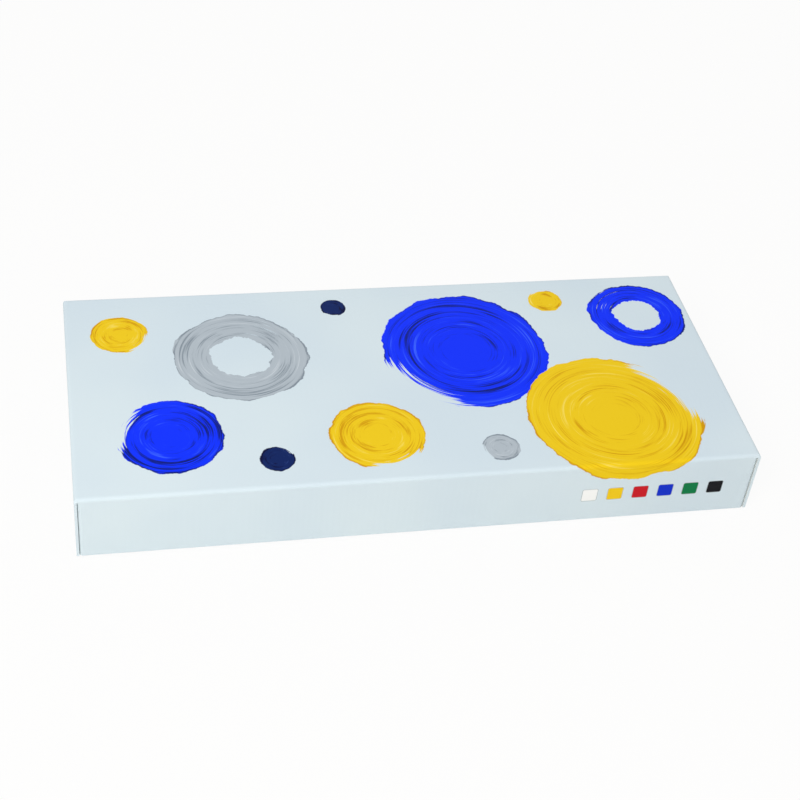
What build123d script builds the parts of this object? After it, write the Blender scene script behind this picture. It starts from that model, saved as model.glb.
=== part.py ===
from build123d import *
import math
import os

# Paint box: a folding carton of fluted board with a hinged lid, a formed plastic insert,
# six tubes of paint and a bottle of medium, all with screw caps.
# Millimetres. X runs along the box, -Y is the front, +Z is up, and the origin is at the
# middle of the box on the surface it stands on.

# Contents: the box is made round them
tube_names = ("white", "yellow", "red", "blue", "green", "black")
tube_diameter = 32.0
sleeve_length = 113.0
crimp_length = 6.0
crimp_thickness = 2.4
sleeve_fullness = 1.8
sleeve_stations = (0.0, 0.35, 0.6, 0.8, 1.0)
shoulder_length = 5.0
shoulder_bevel = 1.2
tube_neck_radius = 6.25
tube_neck_length = 9.6
tube_cap_radius = 10.75
tube_cap_length = 17.0
tube_cap_ribs = 16
oval_sides = 24
round_sides = 28
bottle_diameter = 35.0
bottle_body_length = 74.0
bottle_base_round = 3.0
bottle_shoulder_length = 8.0
bottle_neck_radius = 9.0
bottle_neck_length = 10.5
bottle_cap_radius = 12.5
bottle_cap_length = 17.0
bottle_cap_ribs = 20

# Screw caps
collar_length = 2.6
collar_step = 0.4
rib_share = 0.5
groove_depth = 0.7
cap_draft = 1.7
cap_bevel = 1.6
liner_thickness = 1.2
thread_clearance = 0.15
face_gap = 0.1
cap_gap = 0.3
cap_travel = 8.0

# Board and folds
board = 1.5
fold_inner_radius = 0.5
crease_gap = 0.1
skirt_gap = 0.4
skirt_lift = 0.8
lid_seat_gap = 0.2
tab_length = 28.0
tab_bevel = 6.0
tab_inset = 1.0
skirt_rear_taper = 2.5
skirt_corner_round = 3.0

# Formed insert
film = 0.8
flange = 0.8
insert_gap = 0.6
seat_gap = 0.1
rest_gap = 0.2
deck_above_axis = 1.4
pocket_draft = 3.0
pocket_side_gap = 0.5
cap_side_gap = 1.4
cap_floor_gap = 1.0
front_room = 1.4
tail_room = 2.0
tail_gap = 2.3
cradle_length = 70.0
trough_round = 3.0
pocket_bevel = 2.5
ledge_length = 7.5
ledge_gap = 0.3
bottle_land = 6.3
bottle_end_gap = 1.0
finger_radius = 12.0
finger_floor = 9.0
headroom = 1.9

# Worked out from the values above
fold_radius = fold_inner_radius + board
tube_radius = tube_diameter / 2
bottle_radius = bottle_diameter / 2
tail_width = (math.pi * (tube_diameter - crimp_thickness) + 2 * crimp_thickness) / 2
tube_pitch = tail_width + tail_gap
rim = film + flange
tube_zone = len(tube_names) * tube_pitch
chamfer_growth = 2 - math.sqrt(2)
bottle_zone = bottle_diameter + 2 * (pocket_side_gap + bottle_land)
row_length = tube_zone + bottle_zone
tube_length = tube_cap_length + cap_gap + shoulder_length + sleeve_length + crimp_length
row_depth = front_room + cap_travel + tube_length + tail_room
insert_length = row_length + 2 * rim
insert_depth = row_depth + 2 * rim

tray_half_length = insert_length / 2 + insert_gap + board
box_length = 2 * (tray_half_length + skirt_gap + 2 * board)
tray_depth = insert_depth + 2 * (insert_gap + 2 * board)
box_depth = tray_depth + skirt_gap + board
content_floor = board + seat_gap + film + rest_gap
box_height = content_floor + max(tube_diameter, bottle_diameter) + headroom + board

half_length = box_length / 2
front = -box_depth / 2
back = box_depth / 2
tray_front = front + board + skirt_gap
wall_top = box_height - board - lid_seat_gap
tube_axis_z = content_floor + tube_radius
bottle_axis_z = content_floor + bottle_radius
deck_top = tube_axis_z + deck_above_axis

# The insert stands midway between the glue tabs of the tray's front and back walls
insert_middle = (tray_front + back) / 2
row_front = insert_middle - row_depth / 2
row_back = insert_middle + row_depth / 2
row_left = -row_length / 2
tube_zone_end = row_left + tube_zone
cap_front = row_front + front_room + cap_travel
cap_rear = cap_front + tube_cap_length
shoulder_front = cap_rear + cap_gap
sleeve_front = shoulder_front + shoulder_length
crimp_front = sleeve_front + sleeve_length
crimp_back = crimp_front + crimp_length
trough_front = sleeve_front + cradle_length
tube_places = [row_left + tube_pitch * (i + 0.5) for i in range(len(tube_names))]
bottle_x = tube_zone_end + bottle_zone / 2
bottle_cap_rear = cap_front + bottle_cap_length
bottle_shoulder_front = bottle_cap_rear + cap_gap
bottle_back = bottle_shoulder_front + bottle_shoulder_length + bottle_body_length

# The lid's crease: the board's outer face turns about the line where both halves meet
crease_y = back - fold_radius
crease_z = box_height - fold_radius
hinge_y = crease_y + fold_radius * math.sqrt(0.5)
hinge_z = crease_z + fold_radius * math.sqrt(0.5)
mitre_gap = crease_gap / 2 * math.sqrt(0.5)

# How far a cut runs past what it cuts
beyond = 20.0


def along_x(outline, x_start, x_end):
    """A solid from an outline drawn in Y and Z."""
    return extrude(Plane.YZ.offset(x_start) * outline, amount=x_end - x_start)


def along_y(outline, y_start, y_end):
    """A solid from an outline drawn in X and Z."""
    return extrude(Plane.XZ.offset(-y_start) * outline, amount=y_start - y_end)


def along_z(outline, z_start, z_end):
    """A solid from an outline drawn in X and Y."""
    return extrude(Plane.XY.offset(z_start) * outline, amount=z_end - z_start)


def rectangle(u_start, u_end, v_start, v_end):
    middle = ((u_start + u_end) / 2, (v_start + v_end) / 2)
    return Pos(*middle) * Rectangle(u_end - u_start, v_end - v_start)


def outline(points):
    return make_face(Polyline(*points, close=True))


def rounded(face, radius, corners):
    """The face with the corners nearest to the given points rounded."""
    chosen = [min(face.vertices(), key=lambda v: (v.X - u) ** 2 + (v.Y - w) ** 2) for u, w in corners]
    return fillet(chosen, radius)


def corner_gore(centre_x, centre_y, side_x, side_y, radius):
    """The plan of what lies outside a round corner, between it and its square corner."""
    square = Pos(centre_x + side_x * radius / 2, centre_y + side_y * radius / 2) * Rectangle(radius, radius)
    return square - Pos(centre_x, centre_y) * Circle(radius)


def lid_skin(inset, radius, low):
    """The lid's whole form down to the given height, as a block, with its faces inset."""
    x_reach = half_length - inset
    y_low = front + inset
    y_high = back - inset
    top = box_height - inset
    ends = rounded(rectangle(-x_reach, x_reach, low, top), radius, [(-x_reach, top), (x_reach, top)])
    sides = rounded(rectangle(y_low, y_high, low, top), radius, [(y_low, top), (y_high, top)])
    return along_y(ends, y_low, y_high) & along_x(sides, -x_reach, x_reach)


def make_lid():
    lid = lid_skin(0, fold_radius, skirt_lift) - lid_skin(board, fold_inner_radius, -beyond)

    # The back stays open, and the bend stops at the mitre down the middle of the crease
    mitre_y = crease_y - mitre_gap
    mitre_z = crease_z + mitre_gap
    lid -= along_x(
        outline([
            (mitre_y, -beyond),
            (mitre_y, mitre_z),
            (mitre_y + beyond, mitre_z + beyond),
            (mitre_y + 2 * beyond, -beyond),
        ]),
        -half_length - beyond,
        half_length + beyond,
    )

    # Each side skirt tapers at its rear end, with a round lower corner
    rear_top = mitre_y
    rear_low = rear_top - skirt_rear_taper
    skirt = outline([
        (front - beyond, skirt_lift),
        (rear_low, skirt_lift),
        (rear_top, crease_z),
        (front - beyond, crease_z),
    ])
    skirt = rounded(skirt, skirt_corner_round, [(rear_low, skirt_lift)])
    waste = rectangle(front - beyond, back + beyond, -beyond, crease_z) - skirt
    tab_face = half_length - board
    lid -= along_x(waste, tab_face, half_length + beyond)
    lid -= along_x(waste, -half_length - beyond, -tab_face)

    # The front skirt turns the corner into a glue tab that lies inside the side skirt
    tab = outline([
        (front + board, skirt_lift),
        (front + board + tab_length, skirt_lift + tab_bevel),
        (front + board + tab_length, crease_z - tab_bevel),
        (front + board, crease_z),
    ])
    for side in (-1, 1):
        low_x, high_x = sorted((side * tab_face, side * (tab_face - board)))
        lid += along_x(tab, low_x, high_x)
        centre_x = side * (tab_face - fold_radius)
        centre_y = front + fold_radius
        inside = corner_gore(centre_x, centre_y, side, -1, fold_inner_radius)
        lid += along_z(inside, skirt_lift, crease_z)
        groove = corner_gore(centre_x, centre_y, side, -1, fold_radius)
        lid -= along_z(groove, -beyond, crease_z)
    return lid


def tray_skin(inset, radius):
    """The base tray's whole form, as a block, with its lid side still closed."""
    x_reach = tray_half_length - inset
    y_low = tray_front + inset
    y_high = back - inset
    low = inset
    high = box_height - inset
    ends = rounded(rectangle(-x_reach, x_reach, low, high), radius, [(-x_reach, low), (x_reach, low)])
    sides = rectangle(y_low, y_high, low, high)
    sides = rounded(sides, radius, [(y_low, low), (y_high, low), (y_high, high)])
    return along_y(ends, y_low, y_high) & along_x(sides, -x_reach, x_reach)


def make_base_tray():
    tray = tray_skin(0, fold_radius) - tray_skin(board, fold_inner_radius)

    # The walls end below the lid, and the back wall bends forward as far as the mitre
    mitre_y = crease_y + wall_top - crease_z + 2 * mitre_gap
    tray -= along_x(
        outline([
            (front - beyond, wall_top),
            (mitre_y, wall_top),
            (mitre_y + beyond, wall_top + beyond),
            (front - beyond, wall_top + beyond),
        ]),
        -half_length - beyond,
        half_length + beyond,
    )

    # The end walls turn the corners into glue tabs behind the front and back walls
    for side_x in (-1, 1):
        wall_x = side_x * (tray_half_length - board)
        corner_x = side_x * (tray_half_length - fold_radius)
        tab_end = wall_x - side_x * tab_length
        tab = outline([
            (wall_x, board + tab_inset),
            (tab_end, board + tab_inset + tab_bevel),
            (tab_end, wall_top - tab_inset - tab_bevel),
            (wall_x, wall_top - tab_inset),
        ])
        for side_y, wall_inside in ((-1, tray_front + board), (1, back - board)):
            low_y, high_y = sorted((wall_inside, wall_inside - side_y * board))
            tray += along_y(tab, low_y, high_y)
            corner_y = wall_inside - side_y * fold_radius
            inside = corner_gore(corner_x, corner_y, side_x, side_y, fold_inner_radius)
            tray += along_z(inside, board, wall_top - tab_inset)
            groove = corner_gore(corner_x, corner_y, side_x, side_y, fold_radius)
            tray -= along_z(groove, fold_radius, wall_top + beyond)
    return tray


def sleeve_oval(y):
    """Half the straight part and the end radius of the sleeve's oval, whose girth is the same all along."""
    share = min(max((y - sleeve_front) / sleeve_length, 0.0), 1.0)
    end_radius = tube_radius - (tube_radius - crimp_thickness / 2) * share ** sleeve_fullness
    return math.pi * (tube_radius - end_radius) / 2, end_radius


def oval_corners(half_straight, end_radius, sides=oval_sides):
    """The corners of an oval drawn with straight sides, so that each face between two is flat."""
    step = 2 * math.pi / sides
    corner_radius = end_radius / math.cos(step / 2)
    corners = []
    for i in range(sides):
        angle = (i + 0.5) * step
        shift = math.copysign(half_straight, math.cos(angle))
        corners.append((shift + corner_radius * math.cos(angle), corner_radius * math.sin(angle)))
    return corners


def flat_faced(rings):
    """A solid through rings of corners, each ring given as its Y and its corners in X and Z."""
    loops = [[(x, y, z) for x, z in corners] for y, corners in rings]
    faces = [Face(Wire.make_polygon(loops[0])), Face(Wire.make_polygon(loops[-1]))]
    for near, far in zip(loops, loops[1:]):
        for i in range(len(near)):
            j = (i + 1) % len(near)
            faces.append(Face(Wire.make_polygon([near[i], near[j], far[j], far[i]])))
    return Solid(Shell(faces))


def make_tube():
    """A tube with its axis on Y, at its own place along the box."""
    rings = [
        (shoulder_front, oval_corners(0, tube_neck_radius + shoulder_bevel)),
        (sleeve_front - shoulder_bevel, oval_corners(0, tube_radius - shoulder_bevel)),
    ]
    for share in sleeve_stations:
        y = sleeve_front + sleeve_length * share
        rings.append((y, oval_corners(*sleeve_oval(y))))
    half_width = sum(sleeve_oval(crimp_front))
    crimp_face = rectangle(-half_width, half_width, -crimp_thickness / 2, crimp_thickness / 2)
    crimp = along_y(crimp_face, crimp_front, crimp_back)
    neck = along_y(Circle(tube_neck_radius), shoulder_front - tube_neck_length, shoulder_front)
    return flat_faced(rings) + crimp + neck


def make_bottle():
    """The bottle with its axis on Y, at its own place along the box."""
    neck_front = bottle_shoulder_front - bottle_neck_length
    shoulder_back = bottle_shoulder_front + bottle_shoulder_length
    narrow = bottle_radius - bottle_base_round
    rings = [
        (bottle_shoulder_front, bottle_neck_radius + thread_clearance),
        (shoulder_back - bottle_base_round, narrow),
        (shoulder_back, bottle_radius),
        (bottle_back - bottle_base_round, bottle_radius),
        (bottle_back, narrow),
    ]
    body = flat_faced([(y, oval_corners(0, radius, round_sides)) for y, radius in rings])
    return body + along_y(Circle(bottle_neck_radius), neck_front, bottle_shoulder_front)


def rib_corners(radius, depth, ribs):
    """The corners of a round with grooves of the given depth between its ribs."""
    step = 2 * math.pi / ribs
    groove_middle = (1 + rib_share) / 2
    corners = []
    for i in range(ribs):
        for share, r in ((0, radius), (rib_share, radius), (groove_middle, radius - depth)):
            angle = (i + share) * step
            corners.append((r * math.cos(angle), r * math.sin(angle)))
    return corners


def make_cap(radius, length, ribs, neck_radius, neck_length, rear):
    """A screw cap with its axis on Y, open at its rear, with ribs that narrow to its tip."""
    tip = rear - length
    collar = flat_faced([(y, oval_corners(0, radius, round_sides)) for y in (rear - collar_length, rear)])
    rib_base = radius - collar_step
    rib_tip = rib_base - (length - collar_length) * math.tan(math.radians(cap_draft))
    rings = (
        (rear - collar_length, rib_base),
        (tip + cap_bevel, rib_tip),
        (tip, rib_tip - cap_bevel / 2),
    )
    grip = flat_faced([(y, rib_corners(r, groove_depth * r / rib_base, ribs)) for y, r in rings])
    bore_depth = neck_length - cap_gap + liner_thickness + 2 * face_gap
    bore = along_y(Circle(neck_radius + thread_clearance), rear - bore_depth, rear + beyond)
    return collar + grip - bore


def make_liner(neck_radius, neck_front):
    """The soft disc in the bottom of a cap's bore, which seals the end of the neck."""
    back_face = neck_front - face_gap
    disc = oval_corners(0, neck_radius - thread_clearance)
    return flat_faced([(back_face - liner_thickness, disc), (back_face, disc)])


def pocket(plan, floor, thickness):
    """A drafted tub from a plan outline, open at the top, or the same tub one film thicker."""
    walls = extrude(Plane.XY.offset(deck_top) * plan, amount=floor - thickness - deck_top, taper=pocket_draft)
    if thickness:
        return walls
    return walls + along_z(plan, deck_top, deck_top + beyond)


def pocket_plan(x_low, x_high, y_low, y_high, thickness):
    plan = rectangle(x_low - thickness, x_high + thickness, y_low - thickness, y_high + thickness)
    return chamfer(plan.vertices(), pocket_bevel + chamfer_growth * thickness)


def cradle(x, thickness):
    """The round-bottomed pocket that fits a tube's sleeve, or the same one film thicker."""
    top = deck_top - tube_axis_z + (beyond if thickness == 0 else 0)
    rings = []
    for y in (shoulder_front - rest_gap - thickness, sleeve_front, (sleeve_front + trough_front) / 2,
              trough_front + film):
        half_straight, end_radius = sleeve_oval(y)
        end_radius += rest_gap + thickness
        lower = [corner for corner in oval_corners(half_straight, end_radius) if corner[1] < 0]
        reach = half_straight + end_radius
        rings.append((y, lower + [(reach, top), (-reach, top)]))
    return Pos(x, 0, tube_axis_z) * flat_faced(rings)


def pocket_forms(thickness):
    """Every pocket of the insert in one form: the hollows, or the film's outside round them."""
    floor = board + seat_gap + film
    cap_half = tube_cap_radius + cap_side_gap
    cap_floor = tube_axis_z - tube_cap_radius - cap_floor_gap
    forms = []
    for x in tube_places:
        plan = pocket_plan(x - cap_half, x + cap_half, row_front, sleeve_front, thickness)
        forms.append(pocket(plan, cap_floor, thickness))
        forms.append(cradle(x, thickness))
    plan = rectangle(
        row_left - thickness, tube_zone_end + thickness, trough_front - thickness, row_back + thickness
    )
    plan = fillet(plan.vertices(), trough_round + thickness)
    forms.append(pocket(plan, floor, thickness))
    bottle_half = bottle_radius + pocket_side_gap
    bottle_end = bottle_back + bottle_end_gap
    plan = pocket_plan(bottle_x - bottle_half, bottle_x + bottle_half, row_front, bottle_end, thickness)
    forms.append(pocket(plan, floor, thickness))
    finger = Pos(bottle_x, bottle_end) * Circle(finger_radius + thickness)
    top = deck_top + (beyond if thickness == 0 else 0)
    forms.append(along_z(finger, finger_floor - thickness, top))
    whole = forms[0]
    for form in forms[1:]:
        whole += form
    return whole


def tail_ledge(thickness):
    """The step in the back of the trough that the tubes' tails lie on."""
    top = tube_axis_z - crimp_thickness / 2 - ledge_gap - thickness
    ledge_front = row_back - ledge_length + thickness
    plan = rectangle(row_left - rim, tube_zone_end + rim, ledge_front, row_back + rim)
    return along_z(plan, -beyond, top)


def make_insert():
    x_reach = insert_length / 2
    y_low = insert_middle - insert_depth / 2
    y_high = insert_middle + insert_depth / 2
    plate = rectangle(-x_reach, x_reach, y_low, y_high)
    plate = fillet(plate.vertices(), trough_round)
    deck = along_z(plate, deck_top - film, deck_top)
    outside = pocket_forms(film) - tail_ledge(film)
    hollows = pocket_forms(0) - tail_ledge(0)
    return deck + outside - hollows


def save(node, shape):
    export_step(shape, os.path.join("parts", node + ".step"))
    print(node, len(shape.solids()), "solid,", round(shape.volume), "mm3")


os.makedirs("parts", exist_ok=True)
save("lid", make_lid())
save("base_tray", make_base_tray())

# The insert is one formed sheet, saved as the sections that hold one tube or the bottle each
insert = make_insert()
section_ends = [row_left + tube_pitch * i for i in range(1, len(tube_names))]
section_ends = [-half_length] + section_ends + [tube_zone_end + bottle_land / 2, half_length]
for name, low, high in zip(tube_names + ("bottle",), section_ends, section_ends[1:]):
    save("insert_" + name, insert & along_z(rectangle(low, high, front, back), 0, box_height))

tube = make_tube()
tube_cap = make_cap(
    tube_cap_radius, tube_cap_length, tube_cap_ribs, tube_neck_radius, tube_neck_length, cap_rear
)
tube_liner = make_liner(tube_neck_radius, shoulder_front - tube_neck_length)
for colour, x in zip(tube_names, tube_places):
    place = Pos(x, 0, tube_axis_z)
    save("tube_" + colour, place * tube)
    save("tube_cap_" + colour, place * tube_cap)
    save("cap_liner_" + colour, place * tube_liner)

place = Pos(bottle_x, 0, bottle_axis_z)
bottle_cap = make_cap(
    bottle_cap_radius, bottle_cap_length, bottle_cap_ribs, bottle_neck_radius, bottle_neck_length, bottle_cap_rear
)
save("medium_bottle", place * make_bottle())
save("bottle_cap", place * bottle_cap)
save("bottle_liner", place * make_liner(bottle_neck_radius, bottle_shoulder_front - bottle_neck_length))

print("box", round(box_length, 2), round(box_depth, 2), round(box_height, 2))
print("hinge", round(hinge_y, 3), round(hinge_z, 3), "tube axis", round(tube_axis_z, 2))
print("bottle axis", round(bottle_x, 2), round(bottle_axis_z, 2), "tubes", [round(x, 3) for x in tube_places])
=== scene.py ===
# A flat paint box, dressed round its frame: printed carton, formed insert, tubes of paint and a bottle.
import math

import bmesh
import bpy
import numpy as np
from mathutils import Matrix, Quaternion, Vector


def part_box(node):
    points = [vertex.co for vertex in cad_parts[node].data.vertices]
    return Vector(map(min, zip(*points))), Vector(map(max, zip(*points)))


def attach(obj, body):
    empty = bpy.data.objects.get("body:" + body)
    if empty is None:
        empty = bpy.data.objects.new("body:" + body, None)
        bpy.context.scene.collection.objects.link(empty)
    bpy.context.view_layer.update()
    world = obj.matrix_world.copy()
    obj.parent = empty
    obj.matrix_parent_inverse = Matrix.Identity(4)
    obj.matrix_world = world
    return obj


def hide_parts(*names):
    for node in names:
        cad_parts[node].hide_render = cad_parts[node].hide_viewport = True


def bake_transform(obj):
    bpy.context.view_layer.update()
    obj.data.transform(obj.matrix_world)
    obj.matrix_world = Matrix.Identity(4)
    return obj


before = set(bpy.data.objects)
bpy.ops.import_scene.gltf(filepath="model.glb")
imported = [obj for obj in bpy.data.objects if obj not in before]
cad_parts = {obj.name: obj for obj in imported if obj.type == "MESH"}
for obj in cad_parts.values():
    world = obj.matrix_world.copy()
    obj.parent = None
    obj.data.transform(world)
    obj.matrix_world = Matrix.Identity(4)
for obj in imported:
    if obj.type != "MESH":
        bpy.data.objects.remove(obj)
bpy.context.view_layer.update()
scene = bpy.context.scene
scene.view_settings.view_transform = "Standard"
print("frame loaded:", len(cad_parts), "nodes")


# Meshes. A part is its points, its four-cornered faces, the uv of each face's corners and material numbers.

def gridFaces(rows, columns):
    # The four-cornered faces of a grid of points, by the points' numbers
    i, j = np.meshgrid(np.arange(rows - 1), np.arange(columns - 1), indexing="ij")
    corner = (i * columns + j).ravel()
    return np.stack([corner, corner + columns, corner + columns + 1, corner + 1], 1)


def sheetPart(points, uv, material=0, flip=False):
    # Faces over a grid of points. Where the grid closes round, uv has one column more than points.
    rows, columns = uv.shape[:2]
    faces = gridFaces(rows, columns)
    cornerUv = uv.reshape(-1, 2)[faces]
    if points.shape[1] < columns:
        faces = faces // columns * (columns - 1) + faces % columns % (columns - 1)
    if flip:
        faces, cornerUv = faces[:, ::-1], cornerUv[:, ::-1]
    return points.reshape(-1, 3), faces, cornerUv, np.full(len(faces), material)


bareUv = 1.0                  # added to a uv, it leads to a bare part of the printed sheet
poleJoin = 2e-6               # how near two points at a pole are


def slabPart(outer, inner, uv, thick, numbers, flip=False, lined=None):
    # A closed board between two grids of points: outer face, inner face and four edges. numbers are the
    # materials of outer face, inner face and raw edge; lined holds the edges that have another of them.
    # On an edge uv runs with its length and, across it, from 0 to the board's thickness. A printed edge
    # takes a bare part of the sheet.
    rows, columns = uv.shape[:2]
    count = rows * columns
    index = np.arange(count).reshape(rows, columns)
    face = gridFaces(rows, columns)
    faces = [face, face[:, ::-1] + count]
    cornerUv = [uv.reshape(-1, 2)[face], uv.reshape(-1, 2)[face[:, ::-1]]]
    kinds = [np.full(len(face), numbers[0]), np.full(len(face), numbers[1])]
    points = outer.reshape(-1, 3)
    edges = ((index[0], False), (index[-1], True), (index[:, 0], True), (index[:, -1], False))
    for edgeNumber, (line, turned) in enumerate(edges):
        lengths = np.linalg.norm(np.diff(points[line], axis=0), axis=1)
        along = np.concatenate([[0], np.cumsum(lengths)])
        rim = np.stack([line[:-1], line[1:], line[1:] + count, line[:-1] + count], 1)
        ends = np.stack([along[:-1], along[1:], along[1:], along[:-1]], 1)
        rimUv = np.stack([ends, ends * 0 + [0, 0, thick, thick]], -1)
        number = (lined or {}).get(edgeNumber, numbers[2])
        if number == numbers[0]:
            rimUv = rimUv + bareUv
        faces.append(rim[:, ::-1] if turned else rim)
        cornerUv.append(rimUv[:, ::-1] if turned else rimUv)
        kinds.append(np.full(len(rim), number))
    faces, cornerUv = np.concatenate(faces), np.concatenate(cornerUv)
    if flip:
        faces, cornerUv = faces[:, ::-1], cornerUv[:, ::-1]
    return np.concatenate([points, inner.reshape(-1, 3)]), faces, cornerUv, np.concatenate(kinds)


def addPiece(name, parts, materials, body, slot, replaced, smoothAngle=35, join=0.0):
    # join is how near two points must be to become one, as at a pole
    points = np.concatenate([part[0] for part in parts])
    starts = np.cumsum([0] + [len(part[0]) for part in parts[:-1]])
    faces = np.concatenate([part[1] + start for part, start in zip(parts, starts)])
    cornerUv = np.concatenate([part[2] for part in parts])
    numbers = np.concatenate([part[3] for part in parts])
    mesh = bpy.data.meshes.new(name)
    mesh.from_pydata(points.tolist(), [], faces.tolist())
    for material in materials:
        mesh.materials.append(material)
    mesh.polygons.foreach_set("material_index", numbers.astype(np.int32))
    layer = mesh.uv_layers.new(name="sheet")
    layer.data.foreach_set("uv", cornerUv.astype(np.float32).ravel())
    if join:
        merged = bmesh.new()
        merged.from_mesh(mesh)
        bmesh.ops.remove_doubles(merged, verts=merged.verts, dist=join)
        merged.to_mesh(mesh)
        merged.free()
    mesh.validate()
    mesh.shade_smooth()
    mesh.set_sharp_from_angle(angle=math.radians(smoothAngle))
    piece = bpy.data.objects.new(name, mesh)
    scene.collection.objects.link(piece)
    if body:
        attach(piece, body)
    if replaced:
        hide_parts(*replaced)
    return piece


def steps(*stops):
    # Numbers along a line of stops: each is a value and the count of steps from the stop before.
    numbers = [stops[0][0]]
    for (a, _), (b, count) in zip(stops, stops[1:]):
        numbers.extend(a + (b - a) * (k + 1) / count for k in range(count))
    return np.array(numbers)


def mirrored(half):
    # A line of places from its second half, which starts at the middle
    return np.concatenate([-half[:0:-1], half])


def gridUv(across, along):
    # The uv of a grid of points, from its columns' and its rows' places
    return np.stack(np.meshgrid(across, along), -1)


def smooth(value, low, high):
    # 0 up to low, 1 from high on, smooth between
    share = np.clip((value - low) / (high - low), 0, 1)
    return share * share * (3 - 2 * share)


def barSpan(node):
    # A bar that lies along Y: its middle across and up, its radius and its two ends
    low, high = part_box(node)
    return (low.x + high.x) / 2, (low.z + high.z) / 2, (high.z - low.z) / 2, low.y, high.y


# Shader maths

class Signal:
    # Wraps a socket, so that sums on it add Math nodes.
    def __init__(self, graph, socket):
        self.graph = graph
        self.socket = socket

    def maths(self, operation, first, second=None):
        inputs = {0: first} if second is None else {0: first, 1: second}
        return self.graph.add("Math", {"operation": operation}, inputs)

    def __add__(self, other):
        return self.maths("ADD", self, other)

    __radd__ = __add__

    def __sub__(self, other):
        return self.maths("SUBTRACT", self, other)

    def __rsub__(self, other):
        return self.maths("SUBTRACT", other, self)

    def __mul__(self, other):
        return self.maths("MULTIPLY", self, other)

    __rmul__ = __mul__

    def __truediv__(self, other):
        return self.maths("DIVIDE", self, other)

    def __rtruediv__(self, other):
        return self.maths("DIVIDE", other, self)

    def most(self, other):
        return self.maths("MAXIMUM", self, other)

    def size(self):
        return self.maths("ABSOLUTE", self)

    def wave(self):
        return self.maths("SINE", self)

    def rise(self, low, high):
        # 0 up to low, 1 from high on, smooth between; it falls where low is above high.
        ends = {"From Min": min(low, high), "From Max": max(low, high), "Value": self}
        if low > high:
            ends.update({"To Min": 1.0, "To Max": 0.0})
        return self.graph.add("MapRange", {"interpolation_type": "SMOOTHSTEP"}, ends)

    def band(self, low, high, soft=0.0002):
        # 1 between low and high, with soft ends
        return self.rise(low - soft, low + soft) * self.rise(high + soft, high - soft)


class Graph:
    # The node tree of a material, or of a given world, and one method that adds any node.
    def __init__(self, name, owner=None):
        self.owner = owner or bpy.data.materials.new(name)
        self.owner.use_nodes = True
        self.tree = self.owner.node_tree
        self.tree.nodes.clear()

    def add(self, kind, settings=None, sockets=None, out=0):
        node = self.tree.nodes.new("ShaderNode" + kind)
        for key, value in (settings or {}).items():
            if key == "stops":
                while len(node.color_ramp.elements) < len(value):
                    node.color_ramp.elements.new(0.5)
                for element, (place, colour) in zip(node.color_ramp.elements, value):
                    element.position = place
                    element.color = (*colour, 1.0)
            else:
                setattr(node, key, value)
        for key, value in (sockets or {}).items():
            if isinstance(value, Signal):
                self.tree.links.new(value.socket, node.inputs[key])
            elif isinstance(value, tuple) and len(value) == 3 and len(node.inputs[key].default_value) == 4:
                node.inputs[key].default_value = (*value, 1.0)
            else:
                node.inputs[key].default_value = value
        return Signal(self, node.outputs[out]) if node.outputs else node

    def mix(self, factor, first, second):
        return self.add("Mix", {"data_type": "RGBA"}, {0: factor, 6: first, 7: second}, out=2)

    def mixValue(self, factor, first, second):
        return self.add("Mix", None, {0: factor, 2: first, 3: second})

    def ramp(self, factor, *stops):
        return self.add("ValToRGB", {"stops": stops}, {0: factor})

    def sheet(self):
        return self.add("UVMap", {"uv_map": "sheet"})

    def place(self):
        return self.add("TexCoord", out=3)

    def axes(self, vector):
        split = self.add("SeparateXYZ", None, {0: vector})
        return [Signal(self, output) for output in split.socket.node.outputs]

    def ray(self, kind):
        # 1 for a ray of that kind, which is one of the Light Path node's outputs
        return Signal(self, self.add("LightPath").socket.node.outputs["Is " + kind + " Ray"])

    def vector(self, x, y, z=0.0):
        return self.add("CombineXYZ", None, {0: x, 1: y, 2: z})

    def noise(self, vector, scale, detail=2.0, roughness=0.5):
        sockets = {"Vector": vector, "Scale": scale, "Detail": detail, "Roughness": roughness}
        return self.add("TexNoise", None, sockets)

    def finish(self, colour, roughness, bump=None, height=0.0001, strength=1.0, **sockets):
        given = {"Base Color": colour, "Roughness": roughness}
        for key, value in sockets.items():
            given[key.replace("_", " ")] = value
        if bump is not None:
            sockets = {"Strength": strength, "Distance": height, "Height": bump}
            given["Normal"] = self.add("Bump", None, sockets)
        shader = self.add("BsdfPrincipled", None, given)
        self.add("OutputMaterial", None, {"Surface": shader})
        return self.owner


def paint(red, green, blue):
    # Screen colour numbers, 0 to 255, as the linear colour that a shader wants.
    shares = np.array([red, green, blue]) / 255
    linear = np.where(shares <= 0.04045, shares / 12.92, ((shares + 0.055) / 1.055) ** 2.4)
    return tuple(float(x) for x in linear)


# The carton's finishes

carton = {
    "face": paint(214, 227, 232),
    "faceCool": paint(208, 222, 230),
    "inside": paint(226, 228, 226),
    "insideShade": paint(217, 218, 213),
    "edge": paint(200, 211, 216),
    "edgeLight": paint(222, 229, 232),
    # edgeHollow is painted shade in the flute hollows of a cut edge; it is also the dark outline printed
    # round each key square
    "edgeHollow": paint(168, 178, 183),
    "flutePitch": 0.0032,
    "gloss": 0.42,
    "sheen": 0.04,            # how strongly the print mirrors its surroundings
}
# Each colour's dark, middle and light, as its bristle streaks run through them
dabColours = {
    "blue": (paint(8, 26, 118), paint(12, 50, 250), paint(74, 118, 255)),
    "yellow": (paint(208, 152, 4), paint(237, 200, 28), paint(252, 232, 120)),
    "silver": (paint(132, 143, 153), paint(176, 186, 194), paint(216, 223, 228)),
    "navy": (paint(1, 7, 56), paint(10, 34, 92), paint(48, 72, 140)),
}
inkStops = (0.40, 0.49, 0.60, 0.76)     # where a streak is dark, middle up to middle, and light
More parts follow.
